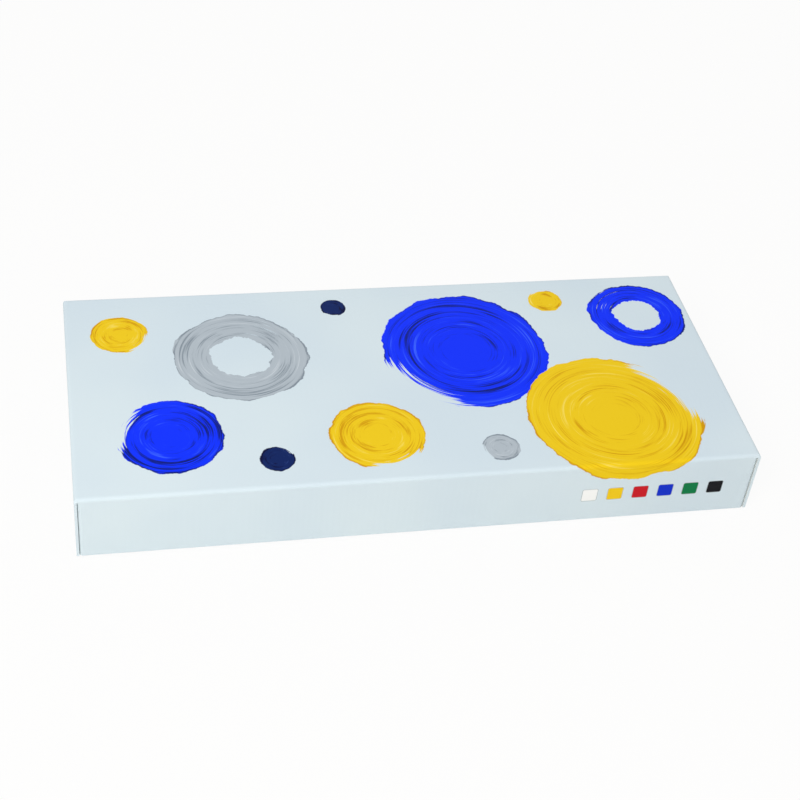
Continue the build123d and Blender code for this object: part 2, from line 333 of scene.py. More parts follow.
# Middle along and across the sheet, outer and inner radius, share of a turn where the brush starts, colour
dabs = (
    (-0.0890, 0.0240, 0.0400, 0.0170, 0.15, "silver"),
    (0.0400, 0.0200, 0.0520, 0.0000, 0.62, "blue"),
    (0.1120, -0.0440, 0.0530, 0.0000, 0.08, "yellow"),
    (0.1520, 0.0440, 0.0310, 0.0140, 0.38, "blue"),
    (-0.0230, -0.0470, 0.0280, 0.0000, 0.80, "yellow"),
    (-0.1330, -0.0390, 0.0300, 0.0000, 0.45, "blue"),
    (-0.1550, 0.0480, 0.0170, 0.0000, 0.90, "yellow"),
    (0.0990, 0.0620, 0.0110, 0.0000, 0.30, "yellow"),
    (-0.0790, -0.0610, 0.0100, 0.0000, 0.15, "navy"),
    (0.0420, -0.0630, 0.0110, 0.0000, 0.55, "silver"),
    (-0.0300, 0.0640, 0.0080, 0.0000, 0.70, "navy"),
)
# A key of the six colours inside, printed on the front skirt
key = {
    "left": 0.0900,
    "pitch": 0.0145,
    "size": 0.0090,
    "along": -0.1035,
    "corner": 0.0012,
    "colours": (paint(245, 246, 244), paint(240, 200, 30), paint(200, 30, 40), paint(20, 50, 200),
                paint(20, 120, 70), paint(28, 28, 32)),
}


def brushedDab(g, across, along, dab, seed):
    # A round of brushed paint. Its rim wanders with direction, its bristle streaks follow the turn, and
    # the brush runs dry at its rim on one side. Gives how much covers and how light it is.
    midU, midV, outer, inner, start, _ = dab
    u = across - midU
    v = along - midV
    radius = g.add("VectorMath", {"operation": "LENGTH"}, {0: g.vector(u, v)}, out=1)
    safe = radius.most(0.0004)
    turnX, turnY = u / safe, v / safe
    rim = g.noise(g.vector(turnX + seed, turnY, 0.0), 1.7, 4.0, 0.6)
    streak = g.noise(g.vector(turnX * 0.8 + seed, turnY * 0.8, radius * 1100), 1.0, 3.0, 0.65)
    broad = g.noise(g.vector(turnX * 0.8, turnY * 0.8 + seed, radius * 260), 1.0, 1.0)
    reach = (rim - 0.5) * outer * 0.26 + outer * 0.94
    cover = (reach - radius).rise(-0.0002, 0.0003)
    angle = 2 * math.pi * start
    facing = turnX * math.cos(angle) + turnY * math.sin(angle)
    thin = facing.rise(0.55, 1.0)
    if inner:
        cover = cover * (radius - (rim - 0.5) * inner * 0.6 - inner).rise(-0.0002, 0.0003)
        thin = thin * 0.42
    else:
        thin = thin * (radius / outer).rise(0.55, 1.0)
    cover = cover * (streak * 1.5 - thin * 1.1).rise(0.02, 0.14)
    lip = (reach - radius).rise(0.0016, 0.0002)
    calm = (radius / outer).rise(0.5, 0.1) * 0.8
    light = g.mixValue(calm, streak * 0.62 + broad * 0.42, 0.53) - lip * 0.10
    return cover, light


def inkShade(g, light, tones, stops=inkStops):
    # A streak's colour by how light it is, from its dark over its middle to its pale tone
    dark, middle, pale = tones
    return g.ramp(light, *zip(stops, (dark, middle, middle, pale)))


def colourKey(g, across, along, colour):
    # Six rounded squares in a row; each one's distance from its edge is a rounded square's.
    size, corner = key["size"], key["corner"]
    for k, tint in enumerate(key["colours"]):
        u = (across - (key["left"] + k * key["pitch"])).size() - (size / 2 - corner)
        v = (along - key["along"]).size() - (size / 2 - corner)
        outside = g.add("VectorMath", {"operation": "LENGTH"}, {0: g.vector(u.most(0.0), v.most(0.0))}, out=1)
        colour = g.mix(outside.rise(corner + 0.0001, corner - 0.0001), colour, carton["edgeHollow"])
        colour = g.mix(outside.rise(corner - 0.0002, corner - 0.0004), colour, tint)
    return colour


def printedBoard():
    # Coated white board, printed with brushed rounds of colour and a colour key.
    g = Graph("printed_board")
    sheet = g.sheet()
    across, along, _ = g.axes(sheet)
    cloud = g.noise(sheet, 9.0, 2.0)
    fibre = g.noise(sheet, 1800.0, 2.0)
    colour = g.mix(cloud.rise(0.3, 0.7), carton["face"], carton["faceCool"])
    inked = None
    for number, dab in enumerate(dabs):
        cover, light = brushedDab(g, across, along, dab, number * 7.3)
        colour = g.mix(cover, colour, inkShade(g, light, dabColours[dab[5]]))
        inked = cover if inked is None else inked.most(cover)
    colour = colourKey(g, across, along, colour)
    rough = fibre * 0.05 - inked * 0.05 + carton["gloss"]
    washboard = (across * (2 * math.pi / carton["flutePitch"])).wave() * 0.16
    return g.finish(colour, rough, washboard + fibre * 0.12, height=0.00005, strength=0.5,
                    Specular_IOR_Level=carton["sheen"])


def plainInside():
    g = Graph("board_inside")
    place = g.place()
    fibre = g.noise(place, 900.0, 4.0, 0.7)
    speck = g.noise(place, 700.0, 4.0, 0.65)
    colour = g.mix(speck.rise(0.3, 0.8), carton["inside"], carton["insideShade"])
    return g.finish(colour, fibre * 0.12 + 0.72, fibre, height=0.00008, strength=0.5)


def rawEdge():
    # The cut edge of fluted board: two liners, and between them a wave, with painted shade in its hollows.
    g = Graph("board_edge")
    along, through, _ = g.axes(g.sheet())
    level = through / board["thick"]
    wave = (along * (2 * math.pi / carton["flutePitch"])).wave() * 0.36 + 0.5
    flute = (level - wave).size().rise(0.17, 0.09)
    liner = (level - 0.5).size().rise(0.32, 0.36)
    solid = flute.most(liner)
    fibre = g.noise(g.place(), 1400.0, 3.0)
    colour = g.mix(solid, carton["edgeHollow"], g.mix(fibre, carton["edge"], carton["edgeLight"]))
    return g.finish(colour, 0.8, solid + fibre * 0.1, height=0.0004, strength=0.5)


# The carton's boards

lidLow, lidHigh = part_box("lid")
trayLow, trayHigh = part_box("base_tray")
board = {
    "thick": 0.0015,
    "fold": 0.0020,           # outer radius of a fold
    "foldSteps": 9,
    "seam": 0.00012,          # how far the boards stand back under the paper at the crease
    "paper": 0.00010,
    "paperReach": 0.0075,     # how far the paper runs on each side of the crease
    "mitre": 0.00004,
    "cut": 0.00005,           # width of the step at the paper's end
    "bow": 0.00012,           # how far the skirts' free edges pull in at mid length
    "sink": 0.00030,          # how far the top sinks at its middle
    "skirtTaper": 0.0025,
    "skirtRound": 0.0030,
    "tabLength": 0.028,
    "tabBevel": 0.006,
    "tabInset": 0.001,
}
cartonMaterials = [printedBoard(), plainInside(), rawEdge()]
halfLength = lidHigh.x
trayHalf = trayHigh.x
frontY, backY = lidLow.y, trayHigh.y
trayMiddle, trayDepth = (trayLow.y + backY) / 2, (backY - trayLow.y) / 2
topZ, skirtZ = lidHigh.z, lidLow.z
creaseY, creaseZ = backY - board["fold"], topZ - board["fold"]
wallTop = topZ - board["thick"] - 0.0002
quarterTurn = board["fold"] * math.pi / 2
eighthTurn = board["fold"] * math.pi / 4 - board["mitre"]


def foldOver(girth, flat, inset):
    # A sheet that runs flat, turns a quarter and goes on: how far out it is and how far down, at a
    # length measured along its outer face, for a layer inset from that face.
    r = board["fold"]
    angle = np.clip((girth - flat) / r, 0, math.pi / 2)
    out = np.minimum(girth, flat) + (r - inset) * np.sin(angle)
    down = r - (r - inset) * np.cos(angle) + np.maximum(girth - flat - quarterTurn, 0)
    return out, down


def lidTop(inset):
    # Top panel, its folds, the side skirts and the lid's half of the crease. Sheet length along X is a
    # and along Y is b; the height is the top less the greater of the two folds' drops, so corners mitre.
    r = board["fold"]
    flatX, flatY = halfLength - r, frontY + r
    height = topZ - r - skirtZ
    half = steps((0, 0), (flatX - 0.006, 44), (flatX, 6), (flatX + quarterTurn, board["foldSteps"]),
                 (flatX + quarterTurn + height, 12))
    strip = creaseY - board["paperReach"]
    b = steps((flatY - quarterTurn, 0), (flatY, board["foldSteps"]), (flatY + 0.006, 6), (strip, 28),
              (strip + board["cut"], 1), (creaseY, 6), (creaseY + eighthTurn, 6))
    a, b = np.meshgrid(mirrored(half), b)
    side = np.sign(a)
    inset = np.maximum(inset, board["seam"] * (b > strip) * (np.abs(a) < trayHalf))
    outX, downX = foldOver(np.abs(a), flatX, inset)
    skirt = np.clip((np.abs(a) - flatX) / quarterTurn, 0, 1) ** 2
    front = np.clip((flatY - b) / r, 0, math.pi / 2)
    crease = np.clip((b - creaseY) / r, 0, math.pi / 4)
    layer = r - inset * (1 - skirt)
    y = np.clip(b, flatY, creaseY) - layer * np.sin(front) + (r - inset) * np.sin(crease)
    downY = r - (r - inset) * np.minimum(np.cos(front), np.cos(crease))
    share = (b - b.min()) / (b.max() - b.min())
    y = y + skirt * (frontY + share * (creaseY - board["mitre"] - frontY) - y)
    down = np.maximum(downX, downY)
    hang = np.clip((np.abs(a) - flatX - quarterTurn) / height, 0, 1)
    y = y - hang * board["skirtTaper"] * smooth(share, 0.8, 1)
    rear = np.clip(y - (y.max(0) - board["skirtRound"]), 0, board["skirtRound"])
    lift = (board["skirtRound"] - np.sqrt(board["skirtRound"] ** 2 - rear ** 2)) * hang
    middle = np.clip(1 - (y / frontY) ** 2, 0, 1)
    x = side * (outX - hang * board["bow"] * middle)
    sink = board["sink"] * np.clip(1 - (a / flatX) ** 2, 0, 1) * np.clip(1 - (b / flatY) ** 2, 0, 1)
    z = topZ - down + lift - sink
    return np.stack([x, y, z], -1), np.stack([a, b], -1)


def lidFront(inset):
    # Front skirt, round the vertical corners and on as the glue tabs inside the side skirts.
    r = board["fold"]
    flat = halfLength - board["thick"] - r
    height = topZ - r - skirtZ
    half = steps((0, 0), (flat - 0.006, 40), (flat, 5), (flat + quarterTurn, board["foldSteps"]),
                 (flat + quarterTurn + board["tabLength"] - r, 10))
    s, w = np.meshgrid(mirrored(half), steps((0, 0), (height, 12)))
    out, back = foldOver(np.abs(s), flat, inset)
    tab = np.clip((np.abs(s) - flat - quarterTurn) / (board["tabLength"] - r), 0, 1)
    share = w / height
    bevel = board["tabBevel"] * tab
    z = topZ - r - bevel - share * (height - 2 * bevel)
    y = frontY + back + board["bow"] * share * np.clip(1 - (s / flat) ** 2, 0, 1)
    return np.stack([np.sign(s) * out, y, z], -1), np.stack([s, frontY + r - quarterTurn - w], -1)


def trayBase(inset):
    # Bottom panel, its four folds, and the front and back walls; the back wall ends in the tray's half
    # of the crease. Sheet length round the walls is a and along the box is b.
    r = board["fold"]
    flatY, flatX = trayDepth - r, trayHalf - r
    frontRise, backRise = wallTop - r, creaseZ - r
    a = steps((-flatY - quarterTurn - frontRise, 0), (-flatY - quarterTurn, 10), (-flatY, board["foldSteps"]),
              (flatY, 24), (flatY + quarterTurn, board["foldSteps"]), (flatY + quarterTurn + backRise, 10),
              (flatY + quarterTurn + backRise + eighthTurn, 6))
    halfB = steps((0, 0), (flatX - 0.004, 30), (flatX, 3), (flatX + quarterTurn, board["foldSteps"]))
    a, b = np.meshgrid(a, mirrored(halfB))
    wall = np.clip((np.abs(a) - flatY) / quarterTurn, 0, 1) ** 2
    inset = np.maximum(inset, board["seam"] * (a > flatY + quarterTurn + backRise - board["paperReach"]))
    outY, riseY = foldOver(np.abs(a), flatY, inset)
    angle = np.clip((np.abs(b) - flatX) / r, 0, math.pi / 2)
    x = np.minimum(np.abs(b), flatX) + (r - inset * (1 - wall)) * np.sin(angle)
    riseX = r - (r - inset) * np.cos(angle)
    bend = np.clip((a - flatY - quarterTurn - backRise) / r, 0, math.pi / 4)
    z = np.where(bend > 0, creaseZ + (r - inset) * np.sin(bend), np.maximum(riseX, riseY))
    outY = np.where(bend > 0, trayDepth - r + (r - inset) * np.cos(bend), outY)
    return np.stack([np.sign(b) * x, trayMiddle + np.sign(a) * outY, z], -1), np.stack([b, a], -1)


def trayEnd(inset, side):
    # An end wall, round its vertical corners and on as glue tabs behind the front and back walls.
    r = board["fold"]
    flat = trayDepth - board["thick"] - r
    halfS = steps((0, 0), (flat, 20), (flat + quarterTurn, board["foldSteps"]),
                  (flat + quarterTurn + board["tabLength"] - r, 10))
    s, w = np.meshgrid(mirrored(halfS), steps((0, 0), (1, 12)))
    out, back = foldOver(np.abs(s), flat, inset)
    tab = np.clip((np.abs(s) - flat - quarterTurn) / (board["tabLength"] - r), 0, 1)
    corner = np.clip((np.abs(s) - flat) / quarterTurn, 0, 1)
    low = r + board["tabInset"] * corner + board["tabBevel"] * tab
    high = wallTop - board["tabInset"] * corner - board["tabBevel"] * tab
    y = trayMiddle + np.sign(s) * out
    return np.stack([side * (trayHalf - back), y, low + w * (high - low)], -1), np.stack([s, w * wallTop], -1)


def creasePaper():
    # The printed liner that joins the two boards at the crease: a thin strip round the fold.
    r, reach = board["fold"], board["paperReach"]
    run = steps((-reach, 0), (0, 6), (quarterTurn, 16), (quarterTurn + reach, 6))
    x = steps((-trayHalf + 0.0004, 0), (trayHalf - 0.0004, 60))
    run, x = np.meshgrid(run, x)
    angle = np.clip(run / r, 0, math.pi / 2)
    layers = []
    for inset in (0.0, board["paper"]):
        y = creaseY + (r - inset) * np.cos(angle) - np.maximum(run - quarterTurn, 0)
        z = creaseZ + (r - inset) * np.sin(angle) + np.minimum(run, 0)
        layers.append(np.stack([x, y, z], -1))
    uv = np.stack([x, creaseY + quarterTurn - run], -1)
    return slabPart(layers[0], layers[1], uv, board["paper"], (0, 1, 2), flip=True)


def boardPart(form, away=0.0, **given):
    # A board of the given form, which is a function of the depth under the outer face. away is added to uv.
    outer, uv = form(0.0)
    return slabPart(outer, form(board["thick"])[0], uv + away, board["thick"], (0, 1, 2), **given)


def makeCarton():
    # Lid, tray, and the strip of paper round the crease between them
    lid = [boardPart(lidTop, flip=True, lined={0: 0, 1: 1}), boardPart(lidFront)]
    addPiece("lid_board", lid, cartonMaterials, "lid", "carton", ["lid"])
    tray = [boardPart(trayBase, bareUv, flip=True, lined={3: 1})]
    for side in (-1, 1):
        tray.append(boardPart(lambda inset: trayEnd(inset, side), bareUv, flip=side > 0))
    addPiece("tray_board", tray, cartonMaterials, "box", "carton", ["base_tray"])
    strip = addPiece("crease_paper", [creasePaper()], cartonMaterials, None, "carton", [])
    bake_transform(strip)


makeCarton()
print("carton made")


# The formed insert

sectionNames = ("white", "yellow", "red", "blue", "green", "black")
insertLow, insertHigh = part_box("insert_white")[0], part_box("insert_bottle")[1]
cellEnds = [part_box("insert_" + name)[1].x for name in sectionNames]
cellPitch = cellEnds[1] - cellEnds[0]
tubeX = [barSpan("tube_" + name)[0] for name in sectionNames]
_, tubeZ, tubeRadius, tubeFront, tubeBack = barSpan("tube_white")
bottleX, bottleZ, bottleRadius, bottleFront, bottleBack = barSpan("medium_bottle")
tubeShape = {
    "crimpLength": 0.006,
    "crimpHalf": 0.0012,
    "fullness": 1.8,          # how long the sleeve stays round before it flattens
    "shoulder": 0.005,
    "neckRadius": 0.00625,
    "neckLength": 0.0096,
    "thread": 0.0032,         # how far a cap rises in a turn
    "threadHeight": 0.0005,
    "mouthDepth": 0.0022,
    "neckRows": 44,
    "columns": 96,
    "crimpColumns": 41,
    "rippleDepth": 0.00050,   # of the folds that gather towards the tail, and of the fine ones at it
    "fineRipple": 0.00010,
}
sleeveFront = tubeFront + tubeShape["neckLength"] + tubeShape["shoulder"]
sleeveBack = tubeBack - tubeShape["crimpLength"]
insertShape = {
    "film": 0.0008,
    "lip": 0.0009,
    "fillet": 0.0012,
    "draft": 0.0006,
    "flange": 0.0016,         # from the insert's edge to the pockets' ends
    "capHalf": 0.01215,
    "capFloor": 0.00685,
    "bevel": 0.0025,
    "cradleGap": 0.0002,
    "cradleLength": 0.070,
    "troughRound": 0.003,
    "troughDraft": 0.002,
    "ledge": 0.0075,
    "ledgeTop": 0.0171,
    "bottleHalf": 0.018,
    "bottleGap": 0.001,
    "fingerRadius": 0.012,
    "fingerLeast": 0.0015,
    "fingerFloor": 0.009,
    "wallOut": 0.0002,        # how far an end wall reaches out of its pocket and into it
    "wallIn": 0.0007,
    "shoulderRun": 0.0003,    # length of the step between two forms
    "troughRun": 0.0009,
    "fingerRun": 0.0005,
    "tipRun": 0.0008,
    "join": 1e-5,
}
deck = insertHigh.z
pocketFront, pocketBack = insertLow.y + insertShape["flange"], insertHigh.y - insertShape["flange"]
cradleStart = sleeveFront - tubeShape["shoulder"] - insertShape["shoulderRun"]
troughStart = sleeveFront + insertShape["cradleLength"]
fingerStart = bottleBack + insertShape["bottleGap"]
fingerTip = fingerStart + insertShape["fingerRadius"]


def sleeveOval(y):
    # Half the flat part and the end radius of the sleeve's oval. Its girth is a full round's all along.
    share = np.clip((y - sleeveFront) / (sleeveBack - sleeveFront), 0, 1)
    radius = tubeRadius - (tubeRadius - tubeShape["crimpHalf"]) * share ** tubeShape["fullness"]
    return math.pi * (tubeRadius - radius) / 2, radius


def pocketSide(rows, edge, wall, centre, height, radius, middle):
    # One side of a pocket's section, from its cell's edge to its middle: a margin on the deck, a rounded
    # lip, an arc of the given radius about (centre, height), and flat from there. Each has one value, or
    # one a row.
    edge, wall, centre, height, radius, middle = (
        np.broadcast_to(value, rows.shape)[:, None] for value in (edge, wall, centre, height, radius, middle)
    )
    lip = insertShape["lip"]
    margin, rest = np.array([0.0, 0.5, 1.0]), np.array([0.34, 0.68])
    lipTurn, turn = np.radians([30.0, 60.0, 90.0]), np.radians(np.linspace(0, 90, 10))
    start = edge + margin * (wall - lip - edge)
    x = np.concatenate([start, wall - lip + lip * np.sin(lipTurn), centre - radius * np.cos(turn),
                        centre + rest * (middle - centre)], 1)
    z = np.concatenate([deck + start * 0, deck - lip + lip * np.cos(lipTurn) + wall * 0,
                        height - radius * np.sin(turn), height - radius + rest * 0], 1)
    return x, z


def cellSection(rows, left, right, middle, half, reach, height, radius):
    # A cell's whole section round a pocket of a half width. The pocket's arcs have the given distance
    # from the middle, height and radius. The right side is worked out as a mirrored left one.
    x, z = pocketSide(rows, left, middle - half, middle - reach, height, radius, middle)
    mirrorX, mirrorZ = pocketSide(rows, -right, -middle - half, -middle - reach, height, radius, -middle)
    low = np.broadcast_to(height - radius, rows.shape)[:, None]
    return (np.concatenate([x, low * 0 + middle, -mirrorX[:, ::-1]], 1),
            np.concatenate([z, low, mirrorZ[:, ::-1]], 1))


def sunk(rows, z, back, run, out):
    # Heights that fall from the deck at the pocket's front wall and rise to it again at its back wall
    shape = insertShape
    share = smooth(rows, pocketFront - shape["wallOut"], pocketFront + shape["wallIn"])
    return deck + (z - deck) * (share * smooth(rows, back + out, back - run))[:, None]


def tubeCell(rows, number):
    # Cap pocket, cradle, trough and ledge of one tube, blended from one to the next in narrow steps
    shape = insertShape
    left = insertLow.x if number == 0 else cellEnds[number - 1]
    right, middle = cellEnds[number], tubeX[number]
    fillet, corner = shape["fillet"], shape["troughRound"]
    capHalf = shape["capHalf"] - np.clip(shape["bevel"] - (rows - pocketFront), 0, shape["bevel"])
    pocket = cellSection(rows, left, right, middle, capHalf, capHalf - shape["draft"] - fillet,
                         shape["capFloor"] + fillet, fillet)
    flat, radius = sleeveOval(rows)
    radius = radius + shape["cradleGap"]
    cradle = cellSection(rows, left, right, middle, flat + radius, flat, tubeZ, radius)
    near = np.clip(corner - np.minimum(rows - troughStart, pocketBack - rows), 0, corner)
    half = cellPitch / 2 - corner + np.sqrt(corner ** 2 - near ** 2)
    base = np.where(rows > pocketBack - shape["ledge"], shape["ledgeTop"],
                    tubeZ - tubeRadius - shape["cradleGap"])
    trough = cellSection(rows, left, right, middle, half, half - shape["troughDraft"] - fillet,
                         base + fillet, fillet)
    # Only the end cells have a wall along the trough; the others' points spread evenly over its floor
    count = trough[0].shape[1] // 2
    for walled, side, low, high in ((number == 0, slice(0, count + 1), left, middle),
                                    (number == len(sectionNames) - 1, slice(count, None), middle, right)):
        if not walled:
            trough[0][:, side] = np.linspace(low, high, count + 1)
            trough[1][:, side] = base[:, None]
    toCradle = smooth(rows, cradleStart, cradleStart + shape["shoulderRun"])[:, None]
    toTrough = smooth(rows, troughStart, troughStart + shape["troughRun"])[:, None]
    section = (a + (b - a) * toCradle for a, b in zip(pocket, cradle))
    x, z = (a + (b - a) * toTrough for a, b in zip(section, trough))
    return x, sunk(rows, z, pocketBack, shape["wallIn"], shape["wallOut"])


def bottleCell(rows):
    # The bottle's pocket, and behind it the round recess for a fingertip
    shape = insertShape
    bevel, run = shape["bevel"], shape["fingerRun"]
    half = shape["bottleHalf"] - np.clip(bevel - np.minimum(rows - pocketFront, fingerStart - rows), 0, bevel)
    finger = np.sqrt(np.maximum(shape["fingerRadius"] ** 2 - (rows - fingerStart) ** 2,
                                shape["fingerLeast"] ** 2))
    wall = np.where(rows < fingerStart, np.maximum(half, finger * (rows > fingerStart - run)), finger)
    floor = bottleZ - bottleRadius - shape["cradleGap"]
    base = floor + (shape["fingerFloor"] - floor) * smooth(rows, fingerStart, fingerStart + run)
    fillet = np.minimum(shape["fillet"], wall * 0.4)
    draft = np.minimum(shape["draft"], wall * 0.2)
    x, z = cellSection(rows, cellEnds[-1], insertHigh.x, bottleX, wall, wall - draft - fillet,
                       base + fillet, fillet)
    return x, sunk(rows, z, fingerTip, shape["tipRun"], 0.0)


def makeInsert():
    # One sheet over every cell. Its rows crowd where a wall crosses the box.
    shape = insertShape
    out, into, ledge = shape["wallOut"], shape["wallIn"], pocketBack - shape["ledge"]
    walls = [(pocketFront - out, pocketFront + into), (cradleStart, cradleStart + shape["shoulderRun"]),
             (troughStart, troughStart + shape["troughRun"]), (fingerStart, fingerStart + shape["fingerRun"]),
             (fingerTip - shape["tipRun"], fingerTip), (ledge - 0.0001, ledge + 0.0001),
             (pocketBack - into, pocketBack + out)]
    rows = np.unique(np.concatenate([
        np.linspace(insertLow.y, insertHigh.y, 58), *(np.linspace(low, high, 5) for low, high in walls),
        [pocketFront + shape["bevel"], fingerStart - shape["bevel"], fingerStart - 0.0004],
        troughStart + np.linspace(0.0014, 0.003, 4), fingerTip - np.geomspace(0.0012, 0.010, 9),
    ]).round(7))
    cells = [tubeCell(rows, number) for number in range(len(sectionNames))] + [bottleCell(rows)]
    x, z = (np.concatenate([cell[k][:, :-1] for cell in cells[:-1]] + [cells[-1][k]], 1) for k in (0, 1))
    top = np.stack([x, rows[:, None] + x * 0, z], -1)
    normal = np.cross(np.gradient(top, axis=1), np.gradient(top, axis=0))
    normal /= np.maximum(np.linalg.norm(normal, axis=-1, keepdims=True), 1e-12)
    # The walls are stretched to half the film's thickness, and the underside's points stay in order
    under = top - shape["film"] * np.clip(normal, [-1, -1, 0.6], 1) * [0.5, 0.5, 1]
    for axis in (0, 1):
        across = 1 - axis
        forward = np.maximum.accumulate(under[..., axis], axis=across)
        backward = np.minimum.accumulate(np.flip(under[..., axis], across), axis=across)
        under[..., axis] = (forward + np.flip(backward, across)) / 2
        under[..., axis] = np.clip(under[..., axis], insertLow[axis], insertHigh[axis])
    under[..., 2] = np.maximum(under[..., 2], insertLow.z)
    names = ["insert_" + name for name in (*sectionNames, "bottle")]
    sheet = slabPart(top, under, top[..., :2], shape["film"], (0, 0, 0), flip=True)
    addPiece("insert_form", [sheet], [formedFilm()], "box", "insert_film", names, smoothAngle=50,
             join=shape["join"])


filmFinish = {"first": paint(236, 238, 238), "second": paint(226, 229, 231), "rough": 0.22}


def clouded(name, finish, cloudScale, grainScale, roughness, relief, detail=2.0, **given):
    # An even finish that runs from its first colour to its second with a broad cloud, under a fine grain.
    # roughness and relief each hold the shares of the two.
    g = Graph(name)
    place = g.place()
    cloud = g.noise(place, cloudScale, detail)
    grain = g.noise(place, grainScale, 2.0)
    rough, bump = (cloud * shares[0] + grain * shares[1] for shares in (roughness, relief))
    return g.finish(g.mix(cloud, finish["first"], finish["second"]), rough + finish["rough"], bump, **given)


def formedFilm():
    # White formed sheet: even, glossy, a little dull where it was stretched
    return clouded("formed_film", filmFinish, 60.0, 900.0, (0.12, 0.05), (1.0, 0.1), height=0.0002,
                   strength=0.35, Coat_Weight=0.15, Coat_Roughness=0.1)


# Tubes, bottle and their caps

contents = {
    "white": (paint(214, 211, 202), paint(240, 239, 233), paint(252, 251, 247)),
    "yellow": (paint(214, 158, 10), paint(243, 202, 26), paint(255, 232, 110)),
    "red": (paint(128, 8, 18), paint(196, 22, 34), paint(232, 84, 84)),
    "blue": (paint(8, 22, 120), paint(18, 50, 196), paint(84, 124, 236)),
    "green": (paint(6, 66, 34), paint(16, 112, 62), paint(80, 168, 116)),
    "black": (paint(10, 10, 12), paint(28, 28, 32), paint(84, 84, 92)),
}
tubeArt = {
    "lacquer": paint(232, 234, 233),
    "line": paint(150, 158, 166),
    "bandStart": 0.0080,
    "bandEnd": 0.0440,
    "ringStart": 0.0470,
    "ringEnd": 0.0482,
    "dab": (0.0, 0.0680, 0.0125, 0.0, 0.3, ""),
    "tailLine": 0.1040,
}


metalFinish = {"first": paint(206, 208, 211), "second": paint(228, 230, 232), "rough": 0.24}
capFinish = {"first": paint(14, 26, 72), "second": paint(22, 36, 86), "rough": 0.3}
foamFinish = {"first": paint(214, 213, 206), "second": paint(240, 239, 234), "rough": 0.85}


def aluminium():
    # Bare metal of the neck and the shoulder, clouded and finely scratched
    return clouded("bare_aluminium", metalFinish, 180.0, 2600.0, (0.1, 0.08), (0.0, 1.0), detail=3.0,
                   height=0.00003, strength=0.4, Metallic=1.0)


def capPlastic():
    return clouded("cap_plastic", capFinish, 120.0, 1500.0, (0.0, 0.1), (0.0, 1.0), height=0.00003,
                   strength=0.5, Specular_IOR_Level=0.35)


def tubeLacquer(name):
    # Lacquered sleeve: a wide band and a thin ring of the paint's colour, and one brushed round
    g = Graph("lacquer_" + name)
    across, along, _ = g.axes(g.sheet())
    grain = g.noise(g.place(), 420.0, 2.0)
    band = along.band(tubeArt["bandStart"], tubeArt["bandEnd"])
    ring = along.band(tubeArt["ringStart"], tubeArt["ringEnd"])
    edge = along.band(tubeArt["bandStart"] - 0.0004, tubeArt["bandStart"] + 0.0002, 0.0001)
    edge = edge.most(along.band(tubeArt["bandEnd"] - 0.0002, tubeArt["bandEnd"] + 0.0004, 0.0001))
    tail = along.band(tubeArt["tailLine"], tubeArt["tailLine"] + 0.0005, 0.0001)
    cover, light = brushedDab(g, across, along, tubeArt["dab"], 3.1)
    colour = g.mix(cover, tubeArt["lacquer"], inkShade(g, light, contents[name]))
    colour = g.mix(band.most(ring), colour, contents[name][1])
    colour = g.mix(edge.most(tail), colour, tubeArt["line"])
    dent = g.noise(g.vector(across * 60, along * 26, 0.0), 1.0, 1.0)
    return g.finish(colour, grain * 0.05 + 0.25, dent + cover * 0.02, height=0.0006, strength=0.3,
                    Specular_IOR_Level=0.28)


def linerFoam():
    # Closed cells, each a little darker at its middle
    g = Graph("liner_foam")
    cell = g.add("TexVoronoi", None, {"Vector": g.place(), "Scale": 2600.0})
    colour = g.mix(cell.rise(0.1, 0.6), foamFinish["first"], foamFinish["second"])
    return g.finish(colour, foamFinish["rough"], cell, height=0.0001, strength=0.6)


def turned(centreX, centreZ, y, radius, columns, material=0, flip=False, change=None):
    # A closed turned form: rows follow the profile (y, radius), columns go round. change, where given,
    # takes each point's y, angle and radius and gives its radius.
    y, radius = np.asarray(y, float), np.asarray(radius, float)
    angle = np.linspace(0, 2 * math.pi, columns + 1)[:-1]
    length = np.concatenate([[0], np.cumsum(np.hypot(np.diff(y), np.diff(radius)))])
    rows, turns = np.meshgrid(np.arange(len(y)), angle, indexing="ij")
    rings = radius[rows]
    if change is not None:
        rings = change(y[rows], turns, rings)
    points = np.stack([centreX + rings * np.cos(turns), y[rows], centreZ + rings * np.sin(turns)], -1)
    around = np.linspace(0, 2 * math.pi, columns + 1) * radius.max()
    return sheetPart(points, gridUv(around, length), material, flip)


def threaded(start, end, pitch, height):
    # Adds a thread: a ridge of the given height that runs round the neck, a right-hand helix about -Y,
    # and fades out at both ends. It is the cosine of its phase, cut off below, to the power 0.8.
    def change(y, turns, rings):
        phase = (y / pitch - turns / (2 * math.pi)) * 2 * math.pi
        ridge = np.clip(np.cos(phase) * 1.3 - 0.1, 0, 1) ** 0.8
        fade = smooth(y, start, start + pitch * 0.4) * smooth(y, end, end - pitch * 0.4)
        return rings + ridge * fade * height * (rings > 0.003)
    return change


